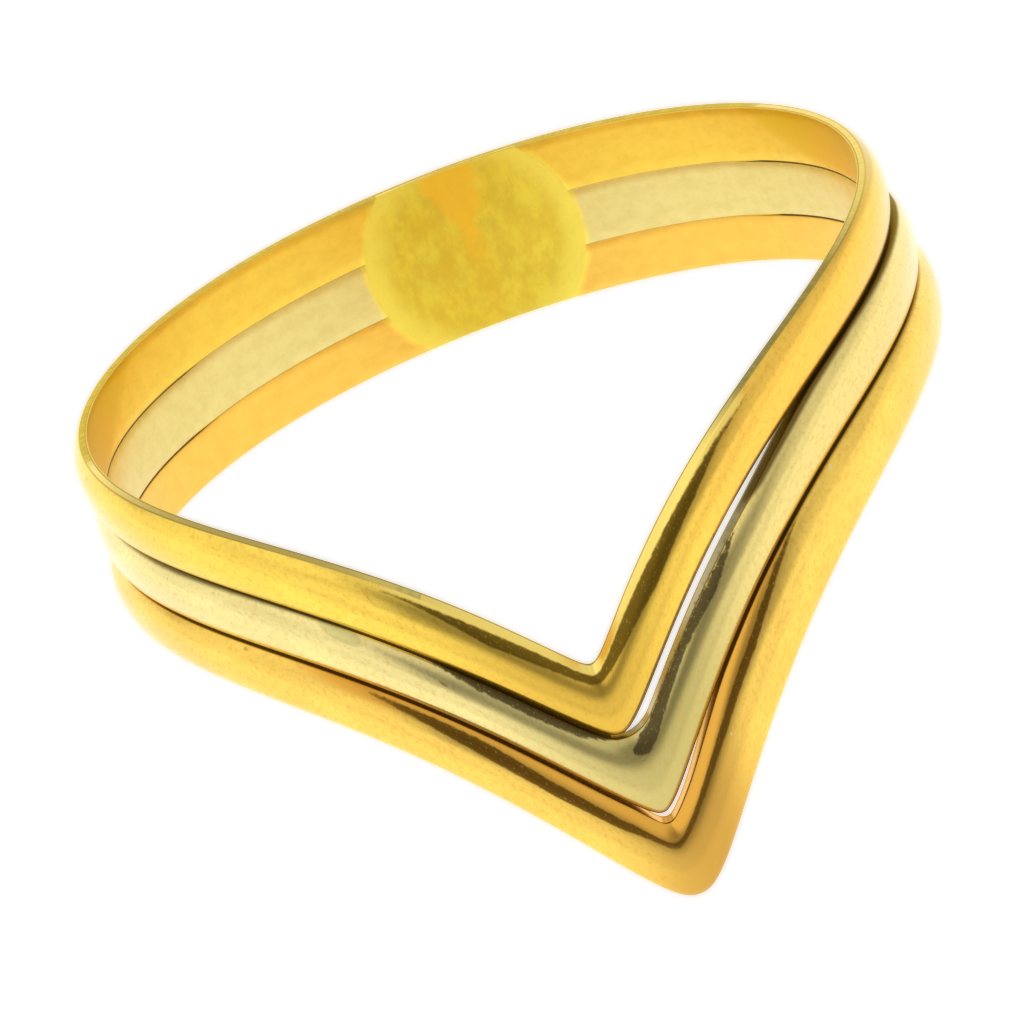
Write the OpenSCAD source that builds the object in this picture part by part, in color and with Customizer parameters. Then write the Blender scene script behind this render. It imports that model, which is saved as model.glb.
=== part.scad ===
// Wedding ring of three nested wishbone bands in three colours of gold.
// Each band runs level round the back of the finger and dips to a sharp V at the front.
// The bands are soldered together at the back. The ring lies as it rests on a table: on the
// point of its V and on its lower edge at the back, leaning a little to its heavier side.

/* [Finger] */
// Inner diameter of the ring
finger_d = 17; // [15:0.5:20]

/* [Bands] */
// Width of the upper band at the back
upper_w = 1.25; // [1:0.05:1.6]
// Width of the middle band at the back
middle_w = 1.26; // [1:0.05:1.6]
// Width of the lower band at the back
lower_w = 1.05; // [0.9:0.05:1.6]
// Thickness of the upper band at its edges
upper_edge_t = 0.2; // [0.2:0.02:0.4]
// Thickness of the middle band at its edges
middle_edge_t = 0.28; // [0.24:0.02:0.4]
// Thickness of the lower band at its edges
lower_edge_t = 0.38; // [0.24:0.02:0.4]
// Height of the domed outside over the edges
dome_h = 0.23; // [0.05:0.01:0.3]
// How much thicker the middle and the lower band are on the right, and thinner on the left
side_lean = 0.08; // [0:0.01:0.14]
// How much thicker all the bands are at the back
back_swell = 0.14; // [0:0.01:0.2]
// Gap along the seams between the bands
seam_gap = 0.04; // [0.02:0.01:0.08]

/* [Wishbone] */
// Drop of the top edge from the back to the point of the V
v_drop = 5.7; // [3:0.1:7]
// Upright height of the upper band at its point
upper_tip_h = 1.6; // [1.4:0.05:2]
// Upright height of the middle band at its point
middle_tip_h = 1.9; // [1.6:0.05:2.4]
// Upright height of the lower band at its point
lower_tip_h = 1.9; // [1.6:0.05:2.4]
// Open slit between the upper and the middle band on the right arm
arm_slit = 0.24; // [0:0.01:0.3]
// Open slit between the middle and the lower band at the point
point_slit = 0.15; // [0:0.01:0.25]

/* [Solder] */
// Diameter of the round solder patch on the inside at the back
patch_d = 4.7; // [3:0.1:5.5]
// Thickness of the solder patch
patch_t = 0.16; // [0.1:0.01:0.16]
// Angle on each side of the back over which solder fills the seams
solder_arc = 50; // [20:5:60]

/* [Hidden] */

bore_r = finger_d / 2;
back_h = upper_w + middle_w + lower_w;
EDGE_T = [upper_edge_t, middle_edge_t, lower_edge_t];
LEAN = [0, side_lean, side_lean];

// Seam lines of the stack from its top edge to its bottom edge, one row each.
// Each line falls from its depth at the back to its depth at the point by
// exp(-(angle / spread) ^ power), with the angle measured round the finger from its corner.
// Columns: depth at the back, depth at the point, spread of the left arm, spread of the
// right arm, power, angle of the corner, rounding of the corner; angles in degrees.
BACK = 0;
POINT = 1;
LEFT = 2;
RIGHT = 3;
POWER = 4;
CORNER = 5;
ROUND = 6;
SEAMS = [
    [0, v_drop, 29.2, 27.2, 1.07, -1.1, 1.0],
    [upper_w, v_drop + upper_tip_h, 29.6, 27.3, 1.15, -0.7, 1.5],
    [upper_w + middle_w, v_drop + upper_tip_h + middle_tip_h, 29.6, 27.2, 1.18, 0.9, 0.8],
    [back_h, v_drop + upper_tip_h + middle_tip_h + lower_tip_h, 28.8, 28.4, 1.15, 1.6, 3.0],
];
// Angle each side of a corner over which the left arm's spread turns into the right arm's
spread_blend = 8;

// Slits under the first and the second seam line, one row each.
// Columns: extra gap, and the angles where it starts to open, is open, starts to close, is closed.
SLIT_GAP = 0;
OPENING = 1;
OPEN = 2;
CLOSING = 3;
CLOSED = 4;
SLITS = [
    [arm_slit, -1, 4, 24, 46],
    [point_slit, -3, 2, 5, 16],
];

// The level part of each band, past this angle from the point, is bored to the finger's round.
// Inside the V the swept inner wall itself stands a hair wider than the bore.
bored_from = 44;
bore_stock = 0.15;
bore_relief = 0.01;
bore_fn = 180;
// Angles from the point between which the bands swell to their thickness at the back
swell_from = 100;
swell_to = 160;

// Half of the sections round a band; they crowd together at the point
half_sections = 72;
// Share of even spacing in the sections' angles, the rest being cubic
even_share = 0.35;
// Facets over the domed outside
dome_facets = 9;
facet_turn = 180 / dome_facets;

// The solder
solder_gap = 0.02;
seam_fill_w = 0.1;
seam_fill_rise = 0.02;
patch_shift = 0.25;
patch_middle = back_h / 2;

// Corner i of a band's section, counted from its edge: its place across the width and its height
function shoulder(n, width, i) =
    [width * (1 - cos(i * facet_turn)) / 2, EDGE_T[n] + dome_h * sin(i * facet_turn)];

// The resting pose. The ring stands on the point's inner corner and on the lower band's
// shoulder at the back, and leans over to the right, where thicker bands make it heavier.
roll_per_lean = 30;
level_rounds = 4;
point_depth = SEAMS[3][POINT];
point_turn = SEAMS[3][CORNER] + 0.6;
resting = shoulder(2, lower_w, 1);
foremost = shoulder(2, lower_tip_h, 1);
rearmost = shoulder(0, upper_w, 2);
rest_roll = roll_per_lean * side_lean;
heel_turn = 7;
heel_sag = 0.006;
heel_r = bore_r + resting[1] + swell(2, 180 - heel_turn);
heel_depth = back_h - resting[0] + heel_sag;

// How far the round heel at the back reaches down by its slope, at a tilt, before the roll
function heel_reach(tilt) = heel_r * sqrt(pow(tan(rest_roll), 2) + pow(sin(tilt), 2));

// Tilt at which point and heel are level, found in a few rounds from a first value
function level_tilt(tilt, rounds) =
    rounds == 0 ? tilt : level_tilt(
        asin(
            ((point_depth - heel_depth) * cos(tilt) + bore_r * sin(point_turn) * tan(rest_roll)
            - heel_reach(tilt) + heel_r * sin(tilt)) / (bore_r + heel_r)),
        rounds - 1);

rest_tilt = level_tilt(20, level_rounds);
rest_drop = heel_reach(rest_tilt) * cos(rest_roll) + heel_depth * cos(rest_tilt) * cos(rest_roll);
front_y = -(bore_r + foremost[1]) * cos(rest_tilt) - (point_depth - foremost[0]) * sin(rest_tilt);
back_y = (bore_r + rearmost[1] + back_swell) * cos(rest_tilt) - rearmost[0] * sin(rest_tilt);
side_depth = (back_h - lower_w / 2) * cos(rest_tilt);
middle_x = side_lean * cos(rest_roll) - side_depth * sin(rest_roll);

function clamp01(x) = min(1, max(0, x));
function smooth(x) = clamp01(x) * clamp01(x) * (3 - 2 * clamp01(x));

// Angle round the finger from the point of the V for a place t from -1 to 1
function section_angle(t) = 180 * (even_share * t + (1 - even_share) * pow(t, 3));

// Height of a seam line at an angle round the finger
function corner_turn(row, a) = sqrt(pow(a - row[CORNER], 2) + pow(row[ROUND], 2)) - row[ROUND];
function arm_spread(row, a) =
    row[LEFT] + (row[RIGHT] - row[LEFT]) * smooth(0.5 + (a - row[CORNER]) / (2 * spread_blend));
function seam_z(row, a) =
    -row[BACK] - (row[POINT] - row[BACK])
    * exp(-pow(corner_turn(row, a) / arm_spread(row, a), row[POWER]));

// Height of the opening under a seam line: the plain gap, and a slit where one shows
function slit_z(row, a) =
    row[SLIT_GAP]
    * smooth((a - row[OPENING]) / (row[OPEN] - row[OPENING]))
    * smooth((row[CLOSED] - a) / (row[CLOSED] - row[CLOSING]));
function band_top(n, a) = seam_z(SEAMS[n], a) - (n == 0 ? 0 : seam_gap + slit_z(SLITS[n - 1], a));
function band_bottom(n, a) = seam_z(SEAMS[n + 1], a);

// Extra thickness of a band at an angle round the finger, over its thickness at the front
function swell(n, a) =
    LEAN[n] * sin(a) + back_swell * smooth((abs(a) - swell_from) / (swell_to - swell_from));

// Section of a band: how far down its width and how far out from the finger each corner is
function inner_rise(a) = abs(a) > bored_from ? -bore_stock : bore_relief;
function section(n, a) = concat(
    [[1, inner_rise(a)], [0, inner_rise(a)]],
    [for (i = [0 : dome_facets])
        let (corner = shoulder(n, 1, i))
            [corner[0], corner[1] + swell(n, a)]]
);

function band_point(n, a, corner) = [
    (bore_r + corner[1]) * sin(a),
    -(bore_r + corner[1]) * cos(a),
    band_top(n, a) + (band_bottom(n, a) - band_top(n, a)) * corner[0],
];

// Solid of a band before the finger hole is bored: its section swept once round the finger
module band_blank(n) {
    sections = 2 * half_sections;
    corners = len(section(n, 0));
    polyhedron(
        points = [
            for (i = [0 : sections - 1])
                let (a = section_angle((i + 0.5) / half_sections - 1))
                    for (corner = section(n, a)) band_point(n, a, corner)
        ],
        faces = [
            for (i = [0 : sections - 1])
                let (here = i * corners, next = ((i + 1) % sections) * corners)
                    for (k = [0 : corners - 1])
                        let (m = (k + 1) % corners)
                            for (face = [
                                [here + k, here + m, next + m],
                                [here + k, next + m, next + k],
                            ]) face
        ]
    );
}

module finger_bore() {
    translate([0, 0, -2 * point_depth])
        cylinder(h = 4 * point_depth, r = bore_r, $fn = bore_fn);
}

// Round patch inside the back of the bands, larger all round by grow
module patch_shape(grow) {
    intersection() {
        translate([0, 0, -back_h - grow])
            cylinder(h = back_h + 2 * grow, r = bore_r + patch_t + grow, $fn = bore_fn);
        translate([patch_shift, 0, -patch_middle])
            rotate([-90, 0, 0])
                cylinder(h = 2 * bore_r, d = patch_d + 2 * grow, $fn = 96);
    }
}

// Ring segment that fills a seam round the back, larger all round by grow
module seam_fill_shape(depth, grow) {
    fill_h = seam_fill_w + 2 * grow;
    fill_reach = bore_stock + middle_edge_t + back_swell + seam_fill_rise + grow;
    rotate([0, 0, 90 - solder_arc])
        rotate_extrude(angle = 2 * solder_arc, $fn = bore_fn)
            translate([bore_r - bore_stock, -depth - (seam_gap + fill_h) / 2])
                square([fill_reach, fill_h]);
}

module solder_shape(grow) {
    patch_shape(grow);
    seam_fill_shape(upper_w, grow);
    seam_fill_shape(upper_w + middle_w, grow);
}

module band(n) {
    difference() {
        band_blank(n);
        finger_bore();
        solder_shape(solder_gap);
    }
}

// Turns the ring from its finger's frame to the way it rests, with the floor at z = 0
module rest() {
    translate([-middle_x, -(front_y + back_y) / 2, rest_drop])
        rotate([0, rest_roll, 0])
            rotate([-rest_tilt, 0, 0])
                children();
}

module upper_band() {
    color("gold") rest() band(0);
}

module middle_band() {
    color("antiquewhite") rest() band(1);
}

module lower_band() {
    color("goldenrod") rest() band(2);
}

module solder_joint() {
    color("khaki") rest() difference() {
        solder_shape(0);
        finger_bore();
    }
}

upper_band();
middle_band();
lower_band();
solder_joint();
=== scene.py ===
import math

import bpy
import numpy as np
from bpy.props import FloatProperty, FloatVectorProperty, PointerProperty
from mathutils import Matrix, Vector


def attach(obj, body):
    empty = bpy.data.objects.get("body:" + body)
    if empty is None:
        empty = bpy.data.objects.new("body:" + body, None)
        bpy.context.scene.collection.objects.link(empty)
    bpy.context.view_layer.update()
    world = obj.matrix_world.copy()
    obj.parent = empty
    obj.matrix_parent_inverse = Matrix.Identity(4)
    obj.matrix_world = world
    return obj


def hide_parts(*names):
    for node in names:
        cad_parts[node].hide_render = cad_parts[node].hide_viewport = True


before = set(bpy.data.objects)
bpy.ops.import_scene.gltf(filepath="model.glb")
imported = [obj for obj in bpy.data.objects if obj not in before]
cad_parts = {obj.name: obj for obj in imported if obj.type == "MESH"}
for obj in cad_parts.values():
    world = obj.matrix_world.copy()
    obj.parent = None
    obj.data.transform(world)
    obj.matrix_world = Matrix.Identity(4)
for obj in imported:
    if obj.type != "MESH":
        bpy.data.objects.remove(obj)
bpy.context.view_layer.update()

bl_info = {
    "name": "Three-colour wishbone wedding ring",
    "version": (1, 0, 0),
    "blender": (4, 5, 0),
    "location": "View3D > Sidebar > Wishbone Ring",
    "description": "Dresses the solids of a three-colour wishbone ring as polished gold bands",
    "category": "Object",
}

MM = 0.001


def table(columns, *rows):
    """Rows as dictionaries by the names of the columns."""
    names = columns.split()
    return [dict(zip(names, row)) for row in rows]


# The three bands, one row each.
# Columns: node, slot, edge thickness, extra thickness on the right, bevel of the upper edge
# face at the point.
BANDS = table(
    "node slot edge lean bevel",
    ("upper_band", "yellow_gold", 0.20, 0.00, 0.16),
    ("middle_band", "white_gold", 0.28, 0.08, 0.04),
    ("lower_band", "warm_gold", 0.38, 0.08, 0.04),
)
# Shape of the seam lines from the top edge to the bottom edge of the stack, one row each.
# Columns: spread of the left arm, spread of the right arm, power, corner angle, rounding.
SEAM_SHAPE = table(
    "left right power corner round",
    (29.2, 27.2, 1.07, -1.1, 1.0),
    (29.6, 27.3, 1.15, -0.7, 1.5),
    (29.6, 27.2, 1.18, 0.9, 0.8),
    (28.8, 28.4, 1.15, 1.6, 3.0),
)
SPREAD_BLEND = 8.0  # degrees each side of a corner over which the spreads blend
# Slits under the first and the second seam line: extra gap and the four angles of its run.
SLITS = table(
    "gap opening open closing closed",
    (0.24, -1, 4, 24, 46),
    (0.15, -3, 2, 5, 16),
)
# Dark strips along the arms, which are widest on either side of the point: pitted tarnish with
# painted dark reflection and painted shade between the bands.
# Columns: band, strip, angle round the finger, and the depths below the band's upper edge
# between which it is dark, in mm.
TARNISH_AND_SHADE_STRIPS = table(
    "band strip turn top bottom",
    (0, 0, -26, 0.15, 0.15),
    (0, 0, -22, 0.16, 0.22),
    (0, 0, -18, 0.18, 0.33),
    (0, 0, -13, 0.20, 0.52),
    (0, 0, -8, 0.20, 0.48),
    (0, 0, -1, 0.20, 0.38),
    (0, 0, 4, 0.18, 0.54),
    (0, 0, 11, 0.20, 0.67),
    (0, 0, 20, 0.18, 0.45),
    (0, 0, 26, 0.16, 0.26),
    (0, 0, 34, 0.15, 0.15),
    (1, 1, -22, -0.05, 0.04),
    (1, 1, -17, -0.05, 0.20),
    (1, 1, -11, -0.05, 0.27),
    (1, 1, -6, -0.05, 0.24),
    (1, 1, -2, -0.05, 0.06),
    (1, 2, 0, 0.30, 0.42),
    (1, 2, 2, 0.10, 0.56),
    (1, 2, 7, 0.05, 0.34),
    (1, 2, 11, 0.05, 0.25),
    (1, 2, 18, 0.05, 0.33),
    (1, 2, 22, 0.05, 0.16),
    (1, 2, 24, 0.05, 0.05),
    (2, 3, -32, 0.08, 0.10),
    (2, 3, -25, 0.10, 0.30),
    (2, 3, -18, 0.14, 0.52),
    (2, 3, -11, 0.32, 0.69),
    (2, 3, -5, 0.42, 0.70),
    (2, 3, 0, 0.44, 0.58),
    (2, 3, 6, 0.40, 0.58),
    (2, 3, 13, 0.38, 0.64),
    (2, 3, 20, 0.27, 0.53),
    (2, 3, 27, 0.08, 0.24),
    (2, 3, 33, 0.03, 0.04),
)
# Painted shade along the outer seams, which also darkens the edge faces in them.
# Columns: band, angle, reach down from the upper edge and up from the lower edge, in mm.
SEAM_SHADE = table(
    "band turn upper lower",
    (0, -120, -1, -0.05),
    (0, -60, -1, 0.04),
    (0, -34, -1, 0.01),
    (0, -25, -1, -0.05),
    (0, 30, -1, -0.05),
    (0, 45, -1, 0.02),
    (0, 90, -1, 0.02),
    (0, 115, -1, -0.05),
    (1, -120, -0.05, -0.05),
    (1, -60, 0.07, 0.01),
    (1, -34, 0.03, 0.0),
    (1, -25, -0.05, 0.0),
    (1, 24, -0.05, 0.0),
    (1, 30, 0.09, 0.02),
    (1, 38, 0.10, 0.0),
    (1, 55, 0.04, 0.0),
    (1, 78, 0.06, 0.0),
    (1, 92, 0.11, 0.0),
    (1, 115, -0.05, -0.04),
    (2, -120, -0.05, -1),
    (2, -40, -0.01, -1),
    (2, -5, -0.03, -1),
    (2, 18, 0.0, -1),
    (2, 33, 0.02, -1),
    (2, 60, 0.01, -1),
    (2, 90, 0.01, -1),
    (2, 115, -0.05, -1),
)
# Local marks and patches of painted shade and reflection, one row each. Columns: band, side (0
# inside, 1 outside), angle, depth below the upper edge in mm, half length and half width in mm,
# slant in degrees, softness, strength and what its colour is, as a share of the band's own in red,
# green and blue.
MARKS_AND_PAINTED_SHADE = table(
    "band side turn down long wide slant soft strength tint",
    # Next two rows: painted shade and reflection inside the upper band's two turns.
    (0, 0, -104, 0.30, 3.5, 0.90, 19, 0.16, 0.9, (0.80, 0.79, 0.56)),
    (0, 0, 112, 0.30, 3.5, 1.03, 158, 0.10, 0.85, (0.83, 0.82, 0.46)),
    # Next two rows: broad painted shade near the point and on the right arm.
    (0, 1, -3, 1.1, 2.6, 2.6, 0, 0.8, 1.0, (0.76, 0.70, 0.66)),
    (0, 1, 48, 0.6, 5.0, 5.0, 0, 0.6, 1.0, (0.97, 0.86, 0.92)),
    (0, 1, 88, 0.04, 3.4, 0.10, 0, 0.5, 0.8, (0.60, 0.57, 0.40)),
    (0, 1, -82, 0.16, 0.04, 0.04, 0, 0.4, 0.4, (0.4, 0.35, 0.3)),
    (0, 1, -26.6, 0.37, 0.17, 0.012, 48, 0.8, 0.6, (0.5, 0.4, 0.2)),
    (0, 1, -31, 0.30, 0.9, 0.05, 2, 0.9, 0.45, (0.75, 0.7, 0.5)),
    # Next two rows: broad painted shade near the point and on the right arm.
    (1, 1, 9, 1.0, 3.3, 3.3, 0, 0.9, 1.0, (0.62, 0.62, 0.52)),
    (1, 1, 46, 0.8, 4.5, 4.5, 0, 0.6, 1.0, (0.93, 0.88, 0.76)),
    (1, 1, -33, 0.10, 0.50, 0.17, 8, 0.12, 0.8, (0.68, 0.73, 0.72)),
    (1, 1, -20.6, 0.37, 0.09, 0.035, 12, 0.5, 0.8, (0.45, 0.28, 0.2)),
    # Painted shade near the point.
    (1, 1, 7, 0.62, 0.60, 0.16, 4, 0.6, 0.5, (0.62, 0.62, 0.5)),
    # Broad painted shade near the point.
    (2, 1, 6, 1.2, 1.7, 2.2, 0, 0.8, 1.0, (0.60, 0.52, 0.50)),
    (2, 1, -49.8, 0.08, 0.05, 0.03, 0, 0.5, 0.6, (0.4, 0.3, 0.2)),
    # Painted shade under the second seam.
    (2, 1, -32, 0.08, 1.5, 0.17, 2, 0.6, 0.85, (0.68, 0.47, 0.27)),
    (2, 1, 1.5, 0.16, 0.12, 0.12, 60, 0.5, 0.7, (0.4, 0.28, 0.15)),
    (2, 1, 4.8, 1.69, 0.10, 0.05, 30, 0.5, 0.35, (0.7, 0.55, 0.4)),
    (2, 1, 40.6, 0.10, 0.06, 0.03, 0, 0.5, 0.7, (1.0, 1.2, 3.0)),
    (2, 1, 12.8, 0.78, 0.03, 0.03, 0, 0.5, 0.7, (1.0, 1.2, 3.0)),
)
# Stretches of the upper band's edge face that a painted reflection makes pale: their angles, and
# how pale they get, as a distance into the pale zone in mm.
PAINTED_PALE_EDGES = table(
    "from to most",
    (-88, -20, 0.02),
    (56, 130, -0.003),
)
PATCH_SHIFT = 0.25  # mm from the middle of the back
SEAM_CLOSES, SEAM_CLOSED = 131, 140  # angles between which solder closes the seams
SOLDER_ARC = 50  # reach of the solder in the seams each side of the back, in degrees
DOME_FACETS = 9  # facets of the CAD dome, which set where the ring touches the table
BACK_SWELL = 0.14  # extra thickness at the back, mm
SWELL_FROM, SWELL_TO = 100, 160  # angles between which the bands swell to it
ROLL_PER_LEAN = 30  # degrees that the ring leans over for each mm of extra thickness
FIRST_TILT = 20  # degrees from which the level tilt is sought
LEVEL_ROUNDS = 4
POINT_TURN = 0.6  # place of the point's contact past the lowest line's corner, in degrees
HEEL_TURN = 7  # place of the heel's contact round the finger, in degrees
HEEL_SAG = 0.006  # mm that the facets let the heel down
SECTIONS = 880
EVEN_SHARE = 0.35  # share of even spacing in the sections' angles, the rest being cubic
CORNER = 0.015  # rounding of the inner edges, mm
BEVEL, BEVEL_SPREAD = 0.02, 26.0  # bevel of the upper edge faces, mm, and spread of its rise
INNER_STEPS, CORNER_STEPS, EDGE_STEPS, DOME_STEPS = 7, 3, 5, 30
FAR_OFF = -9.0  # depth of a corner that no stain is near
STRIP_TAPER, PALE_TAPER, TAPER_START = 0.02, 0.01, -0.04  # mm for each degree, and mm
INSIDE, EDGE, OUTSIDE = 0.0, 0.5, 1.0  # side of a band that a corner lies on
PATCH_ROWS, PATCH_COLS = 44, 60
PATCH_RIM = 0.01  # mm that the patch keeps from the bands' outer edges
PATCH_SKIN, PATCH_BACK = 0.003, 0.14  # mm that it stands in the bore, and reaches outward
FILL_STEPS = 120
FILL_HALF = 0.03  # half width of a seam filling, mm
END_SHARE, END_POWER = 0.05, 8  # its narrowing to a blunt end
FILL_INNER, FILL_OUTER = 0.02, 0.01  # mm from the bore, and past the bands' edges


class RingSizes(bpy.types.PropertyGroup):
    """Sizes of the ring in millimetres"""

    finger: FloatProperty(name="Finger hole", description="Inner diameter, mm", default=17.0)
    upper_width: FloatProperty(name="Upper band", description="Width at the back, mm", default=1.25)
    middle_width: FloatProperty(
        name="Middle band", description="Width at the back, mm", default=1.26)
    lower_width: FloatProperty(name="Lower band", description="Width at the back, mm", default=1.05)
    drop: FloatProperty(
        name="Drop of the V", description="From the back to the point, mm", default=5.7)
    upper_tip: FloatProperty(name="Upper point", description="Upright height, mm", default=1.6)
    middle_tip: FloatProperty(name="Middle point", description="Upright height, mm", default=1.9)
    lower_tip: FloatProperty(name="Lower point", description="Upright height, mm", default=1.9)
    dome: FloatProperty(name="Dome", description="Height over the edges, mm", default=0.23)
    seam: FloatProperty(name="Seam gap", description="Gap between the bands, mm", default=0.04)
    patch: FloatProperty(name="Solder patch", description="Diameter, mm", default=4.7)


class RingFinish(bpy.types.PropertyGroup):
    """Colours and polish of the alloys"""

    yellow: FloatVectorProperty(
        name="Yellow gold", description="Upper band", subtype="COLOR", size=3,
        default=(0.96, 0.66, 0.10), min=0, max=1)
    white: FloatVectorProperty(
        name="White gold", description="Middle band", subtype="COLOR", size=3,
        default=(0.88, 0.73, 0.29), min=0, max=1)
    warm: FloatVectorProperty(
        name="Warm gold", description="Lower band", subtype="COLOR", size=3,
        default=(0.96, 0.63, 0.12), min=0, max=1)
    solder: FloatVectorProperty(
        name="Gold solder", description="Patch and seam fillings", subtype="COLOR", size=3,
        default=(0.97, 0.79, 0.115), min=0, max=1)
    polish: FloatProperty(
        name="Outside roughness", description="Roughness of the domed outside",
        default=0.19, min=0, max=1, subtype="FACTOR")
    satin: FloatProperty(
        name="Inside roughness", description="Roughness of the flat inside",
        default=0.3, min=0, max=1, subtype="FACTOR")


class RingStage(bpy.types.PropertyGroup):
    """Floor, light and camera"""

    floor: FloatVectorProperty(
        name="Floor", description="Colour of the floor", subtype="COLOR", size=3,
        default=(0.35, 0.35, 0.35), min=0, max=1)
    bright: FloatProperty(name="Bright room", description="Strength of the pale room", default=1.14)
    dim: FloatProperty(name="Dim ceiling", description="Strength of the dim ceiling", default=0.43)
    distance: FloatProperty(
        name="Camera distance", description="From the ring", default=0.9, unit="LENGTH")
    frame_width: FloatProperty(
        name="Frame width", description="Width of the picture at the ring, mm", default=21.238)


# Shape of the bands and the solder

def sine(degrees):
    return math.sin(math.radians(degrees))


def cosine(degrees):
    return math.cos(math.radians(degrees))


def smooth(x):
    """Smooth step from 0 to 1."""
    x = np.clip(x, 0.0, 1.0)
    return x * x * (3 - 2 * x)


class RingShape:
    """The formulas of the bands, in the finger's frame in mm: the finger's axis is Z."""

    def __init__(self, sizes):
        self.sizes = sizes
        self.bore = sizes.finger / 2
        widths = (0, sizes.upper_width, sizes.middle_width, sizes.lower_width)
        tips = (sizes.drop, sizes.upper_tip, sizes.middle_tip, sizes.lower_tip)
        self.back_depth = np.cumsum(widths)
        self.point_depth = np.cumsum(tips)
        half_turn = math.pi / DOME_FACETS

        def shoulder(edge, width, i):
            """Corner i of a faceted section: place down its width, height over the bore."""
            return (width * (1 - math.cos(i * half_turn)) / 2,
                    edge + sizes.dome * math.sin(i * half_turn))

        resting = shoulder(BANDS[2]["edge"], sizes.lower_width, 1)
        foremost = shoulder(BANDS[2]["edge"], sizes.lower_tip, 1)
        rearmost = shoulder(BANDS[0]["edge"], sizes.upper_width, 2)
        point, back, lean = self.point_depth[3], self.back_depth[3], BANDS[2]["lean"]
        self.roll = math.radians(ROLL_PER_LEAN * lean)
        slope = math.tan(self.roll)
        heel_r = self.bore + resting[1] + self.swell(2, 180 - HEEL_TURN)
        heel_depth = back - resting[0] + HEEL_SAG
        point_x = self.bore * sine(SEAM_SHAPE[3]["corner"] + POINT_TURN)

        def heel_reach(tilt):
            """How far the round heel reaches down by its slope."""
            return heel_r * math.hypot(slope, math.sin(tilt))

        tilt = math.radians(FIRST_TILT)
        for _ in range(LEVEL_ROUNDS):
            tilt = math.asin(((point - heel_depth) * math.cos(tilt) + point_x * slope
                              - heel_reach(tilt) + heel_r * math.sin(tilt))
                             / (self.bore + heel_r))
        self.tilt = tilt
        c, s = math.cos(tilt), math.sin(tilt)
        front_y = -(self.bore + foremost[1]) * c - (point - foremost[0]) * s
        back_y = (self.bore + rearmost[1] + BACK_SWELL) * c - rearmost[0] * s
        side_depth = (back - sizes.lower_width / 2) * c
        middle_x = lean * math.cos(self.roll) - side_depth * math.sin(self.roll)
        drop = (heel_reach(tilt) + heel_depth * c) * math.cos(self.roll)
        self.offset = Vector((-middle_x, -(front_y + back_y) / 2, drop))
        self.turn = Matrix.Rotation(self.roll, 3, "Y") @ Matrix.Rotation(-tilt, 3, "X")

    def swell(self, n, angle):
        """Extra thickness of band n at an angle."""
        swollen = float(smooth((abs(angle) - SWELL_FROM) / (SWELL_TO - SWELL_FROM)))
        return BANDS[n]["lean"] * sine(angle) + BACK_SWELL * swollen

    def seam(self, i, angle):
        """Height of seam line i at an angle round the finger, in degrees."""
        row = SEAM_SHAPE[i]
        away = np.sqrt((angle - row["corner"]) ** 2 + row["round"] ** 2) - row["round"]
        spread = row["left"] + (row["right"] - row["left"]) * smooth(
            0.5 + (angle - row["corner"]) / (2 * SPREAD_BLEND))
        dip = np.exp(-(away / spread) ** row["power"])
        return -self.back_depth[i] - (self.point_depth[i] - self.back_depth[i]) * dip

    def top(self, n, angle):
        """Height of band n's upper edge."""
        height = self.seam(n, angle)
        if n:
            slit = SLITS[n - 1]
            closed = float(smooth((abs(angle) - SEAM_CLOSES) / (SEAM_CLOSED - SEAM_CLOSES)))
            height = height - self.sizes.seam * (1 - closed) - slit["gap"] * smooth(
                (angle - slit["opening"]) / (slit["open"] - slit["opening"])
            ) * smooth((slit["closed"] - angle) / (slit["closed"] - slit["closing"]))
        return height

    def bottom(self, n, angle):
        """Height of band n's lower edge."""
        return self.seam(n + 1, angle)

    def to_row(self, points):
        """Turns points from the finger's frame in mm to the resting pose in metres."""
        return (np.asarray(points, float) @ np.array(self.turn).T + np.array(self.offset)) * MM


def mesh_object(name, points, faces, **layers):
    """A smooth mesh object with attributes that hold three numbers for each face corner."""
    mesh = bpy.data.meshes.new(name)
    mesh.from_pydata(points.tolist(), [], faces)
    mesh.polygons.foreach_set("use_smooth", [True] * len(faces))
    for key, values in layers.items():
        layer = mesh.attributes.new(key, "FLOAT_VECTOR", "CORNER")
        layer.data.foreach_set("vector", np.asarray(values, np.float32).ravel())
    mesh.update()
    piece = bpy.data.objects.new(name, mesh)
    bpy.context.scene.collection.objects.link(piece)
    return piece


def band_sections(count):
    """Angles of the sections round a band, closer together at the point."""
    t = (np.arange(count) + 0.5) / count * 2 - 1
    return 180 * (EVEN_SHARE * t + (1 - EVEN_SHARE) * t ** 3)


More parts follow.
